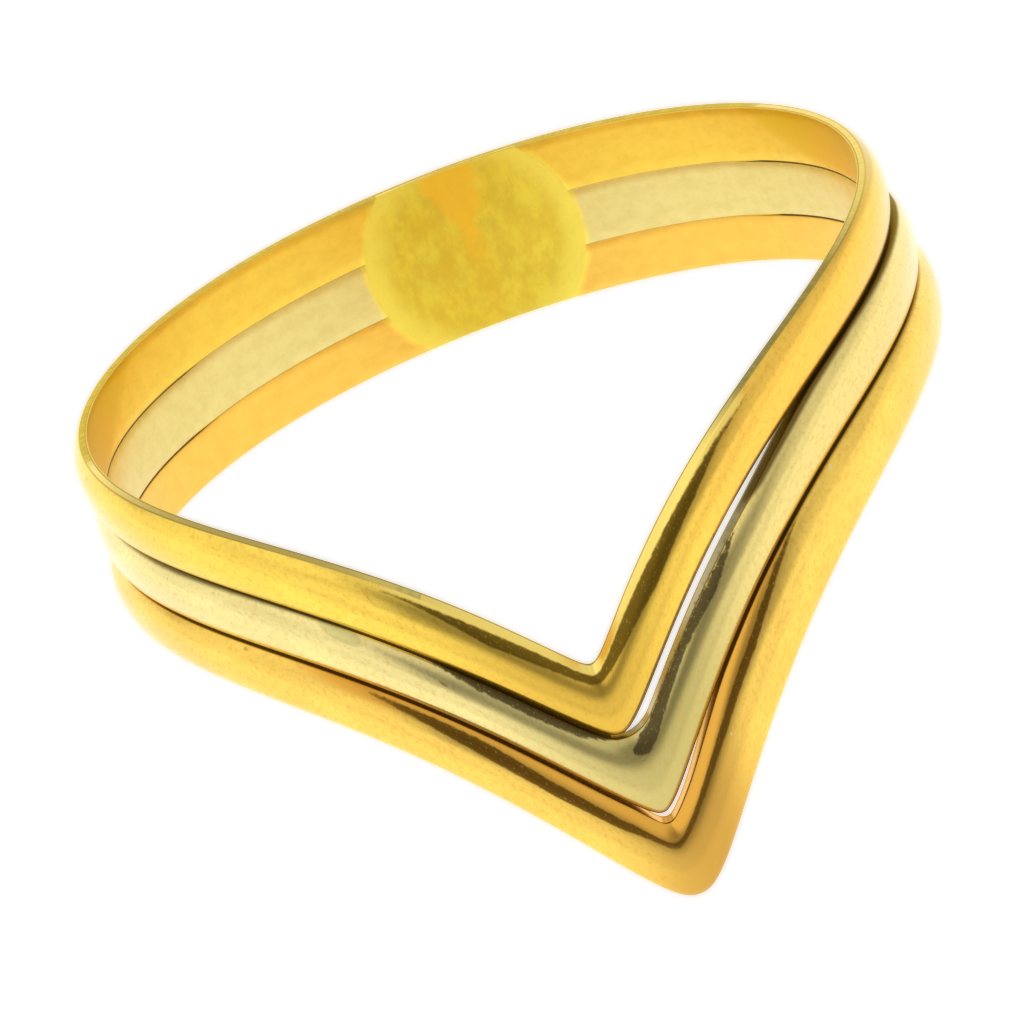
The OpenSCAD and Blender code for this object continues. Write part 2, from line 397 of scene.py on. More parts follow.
def band_profile(shape, n, angle):
    """Section of band n at one angle: rows of depth below the upper edge, height, side."""
    row = BANDS[n]
    width = float(shape.top(n, angle) - shape.bottom(n, angle))
    edge = row["edge"] + shape.swell(n, angle)
    bevel = BEVEL + row["bevel"] * math.exp(-(angle / BEVEL_SPREAD) ** 2)
    soldered = abs(angle) > (SEAM_CLOSES + SEAM_CLOSED) / 2
    upper_side = INSIDE if soldered and n > 0 else EDGE
    lower_side = INSIDE if soldered and n < 2 else EDGE
    rows = []
    for i in range(INNER_STEPS):
        f = i / (INNER_STEPS - 1)
        rows.append((width - CORNER - (width - 2 * CORNER) * f, 0.0, INSIDE))
    for i in range(1, CORNER_STEPS + 1):
        f = math.radians(90 * i / CORNER_STEPS)
        rows.append((CORNER * (1 - math.sin(f)), CORNER * (1 - math.cos(f)), INSIDE))
    for i in range(1, EDGE_STEPS):
        f = i / EDGE_STEPS
        rows.append((bevel * f, CORNER + (edge - CORNER) * f, upper_side))
    for i in range(DOME_STEPS + 1):
        f = math.pi * i / DOME_STEPS
        down = bevel + (width - bevel) * (1 - math.cos(f)) / 2
        rise = math.sin(f) if f > math.pi / 2 else 1 - math.cos(f) ** 3
        rows.append((down, edge + shape.sizes.dome * rise, OUTSIDE))
    for i in range(1, EDGE_STEPS):
        f = i / EDGE_STEPS
        rows.append((width, edge + (CORNER - edge) * f, lower_side))
    for i in range(CORNER_STEPS):
        f = math.radians(90 * i / CORNER_STEPS)
        rows.append((width - CORNER * (1 - math.cos(f)), CORNER * (1 - math.sin(f)), INSIDE))
    return np.array(rows)


def at_turn(rows, key, angle):
    """Value of a column at an angle, between the rows of a table."""
    return np.interp(angle, [row["turn"] for row in rows], [row[key] for row in rows])


def strip_depths(n, angle, down):
    """How deep each corner lies in a tarnished dark strip of band n with painted dark reflection,
    and above one.
    """
    dark, above = np.full(len(down), FAR_OFF), np.full(len(down), FAR_OFF)
    for strip in sorted({row["strip"] for row in TARNISH_AND_SHADE_STRIPS if row["band"] == n}):
        rows = [row for row in TARNISH_AND_SHADE_STRIPS if row["strip"] == strip]
        start, end = rows[0]["turn"], rows[-1]["turn"]
        if start <= angle <= end:
            top, bottom = at_turn(rows, "top", angle), at_turn(rows, "bottom", angle)
            begun = STRIP_TAPER * min(angle - start, end - angle) + TAPER_START
            dark = np.maximum(dark, np.minimum(down - top, bottom - down))
            above = np.maximum(above, np.minimum(top - down, begun))
    return dark, above


def seam_shade_depth(n, angle, down, width):
    """How deep each corner of band n lies in the painted shade of its outer seams."""
    rows = [row for row in SEAM_SHADE if row["band"] == n]
    return np.maximum(at_turn(rows, "upper", angle) - down,
                      at_turn(rows, "lower", angle) - width + down)


def solder_depth(shape, n, angle, down):
    """How deep each corner of band n lies within the round of the solder patch."""
    round_back = math.radians(math.remainder(180 - angle, 360)) * shape.bore - PATCH_SHIFT
    depth = shape.back_depth[n] + down - shape.back_depth[3] / 2
    return shape.sizes.patch / 2 - np.hypot(round_back, depth)


def stain_distances(shape, n, angle, profile):
    """How deep each corner of a section lies in a tarnished dark strip with painted reflection, in
    painted reflection above it, and in solder or painted seam shade.
    """
    down, side = profile[:, 0], profile[:, 2]
    width = float(shape.top(n, angle) - shape.bottom(n, angle))
    dark, above = strip_depths(n, angle, down)
    inner = side == INSIDE
    dark[inner], above[inner] = FAR_OFF, FAR_OFF
    # Painted reflection that makes stretches of the upper band's edge face pale.
    for painted_reflection in PAINTED_PALE_EDGES:
        if n == 0 and painted_reflection["from"] < angle < painted_reflection["to"]:
            begun = PALE_TAPER * min(angle - painted_reflection["from"], painted_reflection["to"] - angle) + TAPER_START
            above[(side == EDGE) & (down < width / 2)] = min(painted_reflection["most"], begun)
    flow = np.where(inner, solder_depth(shape, n, angle, down), seam_shade_depth(n, angle, down, width))
    return np.stack([dark, above, flow], 1)


def build_band(shape, n):
    """Band n as a fine sweep of its section round the finger, and the rows of its local spots and
    painted shade, with their places.
    """
    angles = band_sections(SECTIONS)
    tops = np.array([float(shape.top(n, angle)) for angle in angles])
    steps = np.hypot(shape.bore * np.radians(np.diff(angles)), np.diff(tops))
    arcs = np.concatenate([[0.0], np.cumsum(steps)])
    points, tracks, stains = [], [], []
    for angle, top, arc in zip(angles, tops, arcs):
        profile = band_profile(shape, n, angle)
        down, rise, side = profile.T
        a, reach = math.radians(angle), shape.bore + rise
        points.append(np.stack([reach * math.sin(a), -reach * math.cos(a), top - down], 1))
        tracks.append(np.stack([np.full(len(down), arc), down, side], 1))
        stains.append(stain_distances(shape, n, angle, profile))
    corners = len(points[0])
    i, k = np.meshgrid(np.arange(SECTIONS), np.arange(corners), indexing="ij")
    i2, k2 = (i + 1) % SECTIONS, (k + 1) % corners
    faces = np.stack([i * corners + k, i * corners + k2, i2 * corners + k2, i2 * corners + k], -1)
    faces = faces.reshape(-1, 4)
    tracks = np.concatenate(tracks)[faces]
    # the last strip closes the loop, so its far corners carry on from the arc's end
    closing = np.arange(len(faces)) >= (SECTIONS - 1) * corners
    tracks[closing, 2:, 0] = arcs[-1] + steps[-1]
    piece = mesh_object(BANDS[n]["node"] + "_metal", shape.to_row(np.concatenate(points)),
                        faces.tolist(), track=tracks, stain=np.concatenate(stains)[faces])
    marks_and_shade = [dict(row, along=float(np.interp(row["turn"], angles, arcs)))
             for row in MARKS_AND_PAINTED_SHADE if row["band"] == n]
    return piece, marks_and_shade


def solder_patch(shape):
    """Points, tracks and faces of the round patch: two curved discs and the wall between them."""
    height = shape.back_depth[3]
    radius = shape.sizes.patch / 2
    wide = PATCH_COLS + 1
    far = (PATCH_ROWS + 1) * wide
    points, tracks, faces = [], [], []
    for layer_r in (shape.bore - PATCH_SKIN, shape.bore + PATCH_BACK):
        for i in range(PATCH_ROWS + 1):
            down = PATCH_RIM + (height - 2 * PATCH_RIM) * i / PATCH_ROWS
            reach = math.sqrt(radius ** 2 - (down - height / 2) ** 2)
            for j in range(wide):
                x = PATCH_SHIFT + reach * (2 * j / PATCH_COLS - 1)
                a = x / shape.bore
                points.append((layer_r * math.sin(a), layer_r * math.cos(a), -down))
                tracks.append((x, down, INSIDE))
    for i in range(PATCH_ROWS):
        for j in range(PATCH_COLS):
            a = i * wide + j
            b, c, d = a + 1, a + wide + 1, a + wide
            faces.append((a, b, c, d))
            faces.append((far + a, far + d, far + c, far + b))
    loop = (list(range(PATCH_COLS))
            + [i * wide + PATCH_COLS for i in range(PATCH_ROWS)]
            + [PATCH_ROWS * wide + j for j in range(PATCH_COLS, 0, -1)]
            + [i * wide for i in range(PATCH_ROWS, 0, -1)])
    start = len(points)
    for a in loop:
        points += [points[a], points[far + a]]
        tracks += [tracks[a], tracks[far + a]]
    for i in range(len(loop)):
        a, b = start + 2 * i, start + 2 * ((i + 1) % len(loop))
        faces.append((a, a + 1, b + 1, b))
    return points, tracks, faces


def seam_filling(shape, n):
    """Points, tracks and faces of the bar of solder in the seam under band n."""
    seam_depth = shape.back_depth[n + 1] + shape.sizes.seam / 2
    inner = shape.bore + FILL_INNER
    points, tracks, faces = [], [], []
    for i in range(FILL_STEPS + 1):
        place = 2 * i / FILL_STEPS - 1
        turn = math.radians(SOLDER_ARC * place)
        edge = BANDS[n]["edge"] + shape.swell(n, 180 - math.degrees(turn))
        outer = shape.bore + edge + FILL_OUTER
        half = FILL_HALF * math.sqrt(max(END_SHARE, 1 - abs(place) ** END_POWER))
        for r, lift in ((inner, half), (inner, -half), (outer, -half), (outer, half)):
            points.append((r * math.sin(turn), r * math.cos(turn), lift - seam_depth))
            tracks.append((turn * shape.bore, seam_depth, OUTSIDE))
    for i in range(FILL_STEPS):
        for k in range(4):
            a, b = 4 * i + k, 4 * i + (k + 1) % 4
            faces.append((a, b, b + 4, a + 4))
    faces.append((0, 3, 2, 1))
    faces.append(tuple(4 * FILL_STEPS + k for k in range(4)))
    return points, tracks, faces


def build_solder(shape):
    """Solder patch flush inside the back, and the two seam fillings that run out from it."""
    points, tracks, faces = solder_patch(shape)
    for n in range(2):
        start = len(points)
        more_points, more_tracks, more_faces = seam_filling(shape, n)
        points += more_points
        tracks += more_tracks
        faces += [tuple(start + v for v in face) for face in more_faces]
    flat = [tracks[v] for face in faces for v in face]
    return mesh_object("solder_metal", shape.to_row(points), faces, track=flat)


# Finish of the metals, with painted shade and reflection

class Nodes:
    """Short hand for building a node tree."""

    def __init__(self, tree):
        self.tree = tree
        tree.nodes.clear()

    def add(self, kind, **values):
        """A new node with its settings."""
        node = self.tree.nodes.new(kind)
        for key, value in values.items():
            setattr(node, key, value)
        return node

    def link(self, source, target):
        """Joins an output to an input."""
        self.tree.links.new(source, target)

    def feed(self, socket, value):
        """Gives an input a fixed value or another node's output."""
        if isinstance(value, (int, float, tuple, list)):
            socket.default_value = value
        else:
            self.link(value, socket)

    def math(self, operation, *values, clamp=False):
        """One step of arithmetic."""
        node = self.add("ShaderNodeMath", operation=operation, use_clamp=clamp)
        for socket, value in zip(node.inputs, values):
            self.feed(socket, value)
        return node.outputs[0]

    def times(self, one, other):
        """The product of two values."""
        return self.math("MULTIPLY", one, other)

    def away(self, value, middle):
        """How far a value is from a middle value, on either side."""
        return self.math("ABSOLUTE", self.math("SUBTRACT", value, middle))

    def span(self, value, low, high, to_low=0.0, to_high=1.0):
        """Smooth step of a value from one range to another."""
        node = self.add("ShaderNodeMapRange", interpolation_type="SMOOTHSTEP", clamp=True)
        for key, v in (("Value", value), ("From Min", low), ("From Max", high),
                       ("To Min", to_low), ("To Max", to_high)):
            self.feed(node.inputs[key], v)
        return node.outputs["Result"]

    def parts(self, vector):
        """The three numbers of a vector."""
        node = self.add("ShaderNodeSeparateXYZ")
        self.link(vector, node.inputs[0])
        return node.outputs

    def dot(self, vector, direction):
        """How far a vector points in a fixed direction."""
        node = self.add("ShaderNodeVectorMath", operation="DOT_PRODUCT")
        self.link(vector, node.inputs[0])
        node.inputs[1].default_value = direction
        return node.outputs["Value"]


class Surface(Nodes):
    """A material with one shader."""

    def __init__(self, name):
        self.material = bpy.data.materials.new(name)
        self.material.use_nodes = True
        super().__init__(self.material.node_tree)
        self.shader = self.add("ShaderNodeBsdfPrincipled")
        out = self.add("ShaderNodeOutputMaterial")
        self.link(self.shader.outputs["BSDF"], out.inputs["Surface"])


# Noise patterns on the unrolled metal, one row each.
# Columns: stretch along and down the track, turn in radians, scale per mm, detail, roughness.
PATTERNS = table(
    "name along down turn scale detail rough",
    ("cloud", 0.8, 1.2, 0.0, 0.9, 4.0, 0.6),
    ("grain", 1.0, 1.0, 0.0, 9.0, 4.0, 0.65),
    ("blotch", 1.0, 1.4, 0.0, 2.6, 3.0, 0.6),
    ("hairs", 1.2, 2.2, 0.0, 5.0, 4.0, 0.75),
    ("specks", 1.0, 1.0, 0.0, 14.0, 3.0, 0.7),
    ("solder cloud", 1.0, 1.0, 0.0, 1.6, 4.0, 0.6),
    ("solder grain", 1.0, 1.0, 0.0, 8.0, 4.0, 0.65),
    ("solder blotch", 1.0, 0.6, 0.6, 2.4, 4.0, 0.7),
)
# Two sets of fine scratches: turn in radians, stretch along and across them, and their start
SCRATCHES = ((0.7, 1.6, 9.0, 4.0), (-1.0, 1.4, 8.0, 9.0))
RAGGED_RIM = 0.2  # share of grain in the rim of a mark
# How much of each layer of colour shows, and how much rougher the metal is by some of them
SHARES = {"grain": 0.45, "inside grain": 0.15, "pits": 0.5, "scratches": 0.12, "painted_reflection": 0.9,
          "crease_shade": 0.5, "seam_shade": 0.9, "streak": 0.75}
ROUGHER = {"cloud": 0.14, "dark": 0.2, "scratches": 0.1}


class Finish(Surface):
    """A metal's surface, which follows what the corners of its mesh carry.

    The track is mm along the band, mm down it, and the side. The other attribute is how deep in mm
    a corner lies in a tarnished dark strip with painted dark reflection, in the painted reflection
    above one, and in solder or painted seam shade.
    """

    def __init__(self, name):
        super().__init__(name)
        self.track = self.add("ShaderNodeAttribute", attribute_name="track").outputs["Vector"]
        self.along, self.across, self.side = self.parts(self.track)
        stain = self.add("ShaderNodeAttribute", attribute_name="stain").outputs["Vector"]
        self.dark, self.above, self.flow = self.parts(stain)
        self.shader.inputs["Metallic"].default_value = 1.0

    def stretch(self, sx, sy, sz=1.0, turn=0.0):
        """The track, turned and stretched."""
        node = self.add("ShaderNodeMapping")
        self.link(self.track, node.inputs["Vector"])
        node.inputs["Rotation"].default_value = (0, 0, turn)
        node.inputs["Scale"].default_value = (sx, sy, sz)
        return node.outputs[0]

    def noise(self, vector, scale, detail=3.0, rough=0.5):
        """Cloudy noise about a middle value of 0.5."""
        node = self.add("ShaderNodeTexNoise")
        self.link(vector, node.inputs["Vector"])
        node.inputs["Scale"].default_value = scale
        node.inputs["Detail"].default_value = detail
        node.inputs["Roughness"].default_value = rough
        return node.outputs["Fac"]

    def pattern(self, name):
        """One of the noise patterns."""
        row = next(row for row in PATTERNS if row["name"] == name)
        place = self.stretch(row["along"], row["down"], 1.0, row["turn"])
        return self.noise(place, row["scale"], row["detail"], row["rough"])

    def sway(self, noise, reach):
        """Noise as a swing to either side of zero."""
        return self.times(self.math("SUBTRACT", noise, 0.5), reach)

    def mix(self, factor, one, two):
        """Colour between two colours."""
        node = self.add("ShaderNodeMix", data_type="RGBA")
        self.feed(node.inputs[0], factor)
        for socket, colour in ((node.inputs[6], one), (node.inputs[7], two)):
            if isinstance(colour, (tuple, list)):
                socket.default_value = (*colour[:3], 1.0)
            else:
                self.link(colour, socket)
        return node.outputs[2]

    def scratches(self, turn, along, across, seed, width=0.012):
        """Thin lines where a stretched noise crosses its middle value."""
        shifted = self.add("ShaderNodeVectorMath", operation="ADD")
        self.link(self.stretch(along, across, 1.0, turn), shifted.inputs[0])
        shifted.inputs[1].default_value = (seed, seed * 0.7, seed * 1.3)
        value = self.noise(shifted.outputs[0], 1.0, 1.5, 0.5)
        line = self.span(self.away(value, 0.5), 0.0, width, 1.0, 0.0)
        patchy = self.noise(shifted.outputs[0], 0.45, 1.0)
        return self.times(line, self.span(patchy, 0.5, 0.62))

    def pits(self):
        """Small round pits here and there."""
        node = self.add("ShaderNodeTexVoronoi")
        self.link(self.stretch(1.0, 1.0), node.inputs["Vector"])
        node.inputs["Scale"].default_value = 2.2
        return self.span(node.outputs["Distance"], 0.02, 0.07, 1.0, 0.0)

    def mark(self, row, grain):
        """Where one local mark or patch of painted shade shows: an ellipse on the unrolled band,
        with a ragged rim.
        """
        c, s = cosine(row["slant"]), sine(row["slant"])
        dx = self.math("SUBTRACT", self.along, row["along"])
        dy = self.math("SUBTRACT", self.across, row["down"])
        u = self.math("MULTIPLY_ADD", dx, c / row["long"], self.times(dy, s / row["long"]))
        v = self.math("MULTIPLY_ADD", dx, -s / row["wide"], self.times(dy, c / row["wide"]))
        far = self.math("SQRT", self.math("MULTIPLY_ADD", u, u, self.times(v, v)))
        far = self.math("MULTIPLY_ADD", grain, RAGGED_RIM, far)
        rim = 1 + RAGGED_RIM / 2
        return self.span(far, rim - row["soft"], rim + row["soft"], row["strength"], 0.0)

    def bump(self, height, distance):
        """Fine relief by shading alone."""
        node = self.add("ShaderNodeBump")
        node.inputs["Strength"].default_value = 1.0
        node.inputs["Distance"].default_value = distance
        self.link(height, node.inputs["Height"])
        self.link(node.outputs["Normal"], self.shader.inputs["Normal"])


# Looks of the alloys beside their main colours, one row each in the order of the bands.
# Columns: material, painted colours of the edge faces, which stand for their shade and dark
# reflection, of pale edges and the gold above a dark strip, which are painted reflection, and of
# tarnish with painted shade, how ragged the strips are in mm, the inside's colour as a share of
# the main one, and where its scratches start.
ALLOYS = table(
    "name edge above tarnish ragged inside seed",
    ("yellow_gold_polished", (0.60, 0.48, 0.13), (1.0, 0.75, 0.18), (0.17, 0.10, 0.01),
     0.10, (0.93, 0.92, 0.92), 3.0),
    ("white_gold_polished", (0.42, 0.36, 0.20), (0.52, 0.44, 0.22), (0.115, 0.085, 0.03),
     0.16, (0.89, 0.89, 0.92), 10.0),
    ("warm_gold_polished", (0.62, 0.34, 0.05), (0.82, 0.42, 0.06), (0.19, 0.09, 0.01),
     0.10, (0.96, 0.90, 0.90), 17.0),
)
SEAM_SHADE_TONE = (0.11, 0.065, 0.015)  # colour of the painted shade in the seams
# Tints of clean and of dull metal at a low angle
WHITE, DULL = (1.0, 1.0, 1.0), (0.72, 0.58, 0.28)
STREAK = (0.96, 0.58, 0.05)  # orange streak in the solder
BROWN = (0.62, 0.5, 0.3)  # brown grain as a share of the main colour
# Shades of the solder as shares of its main colour
SOLDER_SHADES = {"middle": (0.86, 0.87, 0.66), "blotch": (0.76, 0.70, 0.5),
                 "rim": (0.93, 0.95, 1.0), "grain": (0.7, 0.6, 0.5)}
RELIEF = {"gold": 0.002, "solder": 0.003}  # depth of the fine relief, mm
PATCH_MIDDLE = (PATCH_SHIFT, 1.78)  # mm along and down the track of the solder


def scaled(colour, *factors):
    """Colour times one factor, or one for each of red, green and blue."""
    factors = factors * 3 if len(factors) == 1 else factors
    return tuple(min(1.0, c * f) for c, f in zip(colour, factors))


def outside_colour(f, colour, marks_and_shade, cloud, grain, pit, fine):
    """Polished gold with its local spots and painted shade, grain, pits and scratches."""
    brown = scaled(colour, *BROWN)
    tone = f.mix(f.span(cloud, 0.35, 0.7), scaled(colour, 0.93), scaled(colour, 1.05))
    for mark in (row for row in marks_and_shade if row["side"] == OUTSIDE):
        tone = f.mix(f.mark(mark, grain), tone, scaled(colour, *mark["tint"]))
    tone = f.mix(f.times(f.span(grain, 0.45, 0.72), SHARES["grain"]), tone, brown)
    tone = f.mix(f.times(pit, SHARES["pits"]), tone, scaled(brown, 0.5))
    return f.mix(f.times(fine, SHARES["scratches"]), tone, brown)


def inside_colour(f, colour, alloy, solder, marks_and_shade, cloud, grain):
    """Satin gold with its patches of painted shade and reflection and its grain, and a smear of
    solder round the patch.
    """
    plain = scaled(colour, *alloy["inside"])
    blotch = f.pattern("blotch")
    tone = f.mix(f.span(blotch, 0.4, 0.65), scaled(plain, 1.0, 1.0, 0.9),
                 scaled(plain, 0.94, 0.93, 0.8))
    for mark in (row for row in marks_and_shade if row["side"] == INSIDE):
        tone = f.mix(f.mark(mark, grain), tone, scaled(colour, *mark["tint"]))
    speckled = f.times(f.span(grain, 0.5, 0.7), SHARES["inside grain"])
    tone = f.mix(speckled, tone, scaled(colour, *BROWN))
    smear = f.math("ADD", f.flow, f.sway(cloud, 0.4))
    return f.mix(f.span(smear, -0.16, 0.08), tone, solder)


def stained(f, tone, alloy, grain):
    """The gold with painted shade and reflection on its edge faces, tarnished dark strips with
    painted reflection, painted shade in the creases and seams, and where it is dark and dull.
    """
    tarnish = alloy["tarnish"]
    # Edge faces: a painted colour that stands for their shade and dark reflection, with real grain
    # in it.
    edge = f.span(f.away(f.side, EDGE), 0.2, 0.45, 1.0, 0.0)
    edge_shade = f.mix(f.span(grain, 0.45, 0.6), alloy["edge"], scaled(alloy["edge"], 1.25))
    tone = f.mix(edge, tone, edge_shade)
    # Painted reflection on the pale edges and on the gold above the dark strips.
    painted_reflection = f.span(f.above, -0.03, 0.02)
    tone = f.mix(f.times(painted_reflection, SHARES["painted_reflection"]), tone, alloy["above"])
    # Painted shade along the corner between the inside and the edge faces.
    crease_shade = f.span(f.away(f.side, 0.25), 0.0, 0.22, 1.0, 0.0)
    tone = f.mix(f.times(crease_shade, SHARES["crease_shade"]), tone, tarnish)
    # Dark strips: tarnish with painted dark reflection and shade in it, with ragged borders and
    # paler specks.
    hairs = f.pattern("hairs")
    dark = f.span(f.math("ADD", f.dark, f.sway(hairs, alloy["ragged"])), -0.02, 0.04)
    specks = f.pattern("specks")
    dark = f.times(dark, f.span(specks, 0.58, 0.7, 1.0, 0.55))
    # Painted shade in the outer seams and on the edge faces beside them.
    seam_shade = f.times(f.span(f.flow, -0.05, 0.03), f.span(f.side, 0.3, 0.5))
    seam_shade = f.times(seam_shade, SHARES["seam_shade"])
    tone = f.mix(dark, tone, tarnish)
    tone = f.mix(seam_shade, tone, SEAM_SHADE_TONE)
    # Painted darker rim at the top of each dark strip.
    rim = f.span(f.math("ABSOLUTE", f.above), 0.0, 0.06, 0.7, 0.0)
    tone = f.mix(f.times(rim, dark), tone, scaled(tarnish, 0.4))
    dull = f.math("MAXIMUM", f.math("SUBTRACT", edge, painted_reflection), seam_shade)
    return tone, f.math("MAXIMUM", dark, seam_shade), dull


def gold_finish(alloy, colour, solder, marks_and_shade, polish, satin):
    """Worn polished gold outside, finer satin inside, with scratches, pits, tarnishing, and painted
    shade and reflection.
    """
    f = Finish(alloy["name"])
    cloud = f.pattern("cloud")
    grain = f.pattern("grain")
    fine = f.math("MAXIMUM", *(f.scratches(turn, along, across, alloy["seed"] + start)
                               for turn, along, across, start in SCRATCHES))
    pit = f.pits()
    outside = f.span(f.side, 0.1, 0.4)
    tone = f.mix(outside, inside_colour(f, colour, alloy, solder, marks_and_shade, cloud, grain),
                 outside_colour(f, colour, marks_and_shade, cloud, grain, pit, fine))
    tone, dark, dull = stained(f, tone, alloy, grain)
    f.feed(f.shader.inputs["Base Color"], tone)
    f.feed(f.shader.inputs["Specular Tint"], f.mix(dull, WHITE, DULL))
    rough = f.add("ShaderNodeMix", data_type="FLOAT")
    f.feed(rough.inputs[0], outside)
    rough.inputs[2].default_value = satin
    rough.inputs[3].default_value = polish
    worn = f.math("ADD", rough.outputs[0], f.sway(cloud, ROUGHER["cloud"]))
    worn = f.math("ADD", worn, f.times(dark, ROUGHER["dark"]))
    worn = f.math("ADD", worn, f.times(fine, ROUGHER["scratches"]), clamp=True)
    f.feed(f.shader.inputs["Roughness"], worn)
    f.bump(f.math("SUBTRACT", f.times(grain, 0.5), f.times(pit, 1.2)), RELIEF["gold"] * MM)
    return f.material


def solder_finish(colour, satin):
    """Greenish satin solder, browner in the middle, with an orange streak along the joint."""
    f = Finish("gold_solder_satin")
    cloud = f.pattern("solder cloud")
    grain = f.pattern("solder grain")
    dx = f.math("SUBTRACT", f.along, PATCH_MIDDLE[0])
    dy = f.math("SUBTRACT", f.across, PATCH_MIDDLE[1])
    far = f.math("SQRT", f.math("ADD", f.times(dx, dx), f.times(dy, dy)))
    rim = f.span(f.math("ADD", far, f.times(cloud, 0.5)), 1.9, 2.5)
    blotch = f.pattern("solder blotch")
    shades = {key: scaled(colour, *share) for key, share in SOLDER_SHADES.items()}
    middle = f.mix(f.span(blotch, 0.35, 0.62), shades["middle"], shades["blotch"])
    tone = f.mix(rim, middle, shades["rim"])
    bend = f.math("ABSOLUTE", f.math("ADD", dx, f.sway(cloud, 0.8)))
    width = f.span(f.across, 0.3, 1.4, 0.62, 0.2)
    streak = f.span(f.math("SUBTRACT", bend, width), -0.16, 0.06, 1.0, 0.0)
    streak = f.times(streak, f.span(f.across, 1.3, 2.6, 1.0, 0.1))
    tone = f.mix(f.times(streak, SHARES["streak"]), tone, STREAK)
    tone = f.mix(f.span(grain, 0.5, 0.8, 0.0, 0.3), tone, shades["grain"])
    f.feed(f.shader.inputs["Base Color"], tone)
    f.feed(f.shader.inputs["Roughness"], f.span(cloud, 0.3, 0.7, satin, satin + 0.15))
    f.bump(f.math("ADD", grain, cloud), RELIEF["solder"] * MM)
    return f.material


# Floor, light and camera

# Camera axes in the finger's frame, as the ring is seen in the photograph
VIEW_RIGHT = (0.9354, -0.0858, -0.3429)
VIEW_DOWN = (-0.3525, -0.2975, -0.8872)
VIEW_AIM = (0.91, 4.536)  # mm right and down of the finger's origin
SENSOR_WIDTH = 36.0  # mm
CLIP_NEAR, CLIP_FAR = 0.05, 50.0  # m


def add_camera(shape, stage):
    """Camera at the photograph's angle to the ring."""
    right = Vector(VIEW_RIGHT).normalized()
    down = Vector(VIEW_DOWN)
    down = (down - right * down.dot(right)).normalized()
    ahead = right.cross(down)
    turn = shape.turn
    aim = turn @ (right * VIEW_AIM[0] + down * VIEW_AIM[1])
    aim = (aim + shape.offset) * MM
    axes = Matrix([turn @ right, turn @ -down, turn @ -ahead]).transposed()
    data = bpy.data.cameras.new("camera")
    data.sensor_width = SENSOR_WIDTH
    data.lens = data.sensor_width * stage.distance / (stage.frame_width * MM)
    data.clip_start, data.clip_end = CLIP_NEAR, CLIP_FAR
    camera = bpy.data.objects.new("camera", data)
    camera.matrix_world = Matrix.Translation(aim - (turn @ ahead) * stage.distance) @ axes.to_4x4()
    bpy.context.scene.collection.objects.link(camera)
    bpy.context.scene.camera = camera


# Pale floor: half its size, and the stretch in front over which it lightens, all in metres,
# with the strength of its own light at both ends
FLOOR = {"half": 0.6, "front": -0.06, "back": -0.022, "dull": 0.62, "bright": 0.95}


def add_floor(stage):
    """Plain pale floor under the ring, a little darker in front of the picture."""
    half = FLOOR["half"]
    mesh = bpy.data.meshes.new("floor")
    mesh.from_pydata([(-half, -half, 0), (half, -half, 0), (half, half, 0), (-half, half, 0)],
                     [], [(0, 1, 2, 3)])
    floor = bpy.data.objects.new("floor", mesh)
    bpy.context.scene.collection.objects.link(floor)
    f = Surface("pale_floor")
    f.shader.inputs["Base Color"].default_value = (*stage.floor, 1)
    f.shader.inputs["Roughness"].default_value = 0.7
    f.shader.inputs["Emission Color"].default_value = (1, 1, 1, 1)
    place = f.parts(f.add("ShaderNodeTexCoord").outputs["Object"])
    f.feed(f.shader.inputs["Emission Strength"], f.span(
        place["Y"], FLOOR["front"], FLOOR["back"], FLOOR["dull"], FLOOR["bright"]))
    mesh.materials.append(f.material)


# Directions above the floor between which the room turns from bright to dim, in degrees
HORIZON = {"bright": 3, "dim": 22}
# Soft boxes of the room, one row each: direction round the ring from the camera's side towards
# the right and direction above the floor, in degrees; half width of the bright middle and of
# the faded rim, in degrees; strength.
SOFT_BOXES = table(
    "turn up bright faded strength",
    (-88, 32, 34, 56, 0.62),
    (85, 18, 22, 60, 0.45),
    (180, 84, 10, 42, 0.42),
)
# Dark gap between the soft boxes, where the camera stands: its direction, its half widths and the
# directions above the floor between which it darkens, in degrees; the share of light it takes;
# and how far a direction has to point forward for the gap to begin and to be full.
DARK_GAP = {"turn": -8, "narrow": 5, "wide": 16, "from": 4, "full": 34, "share": 0.2,
            "begin": 0.2, "front": 0.45}


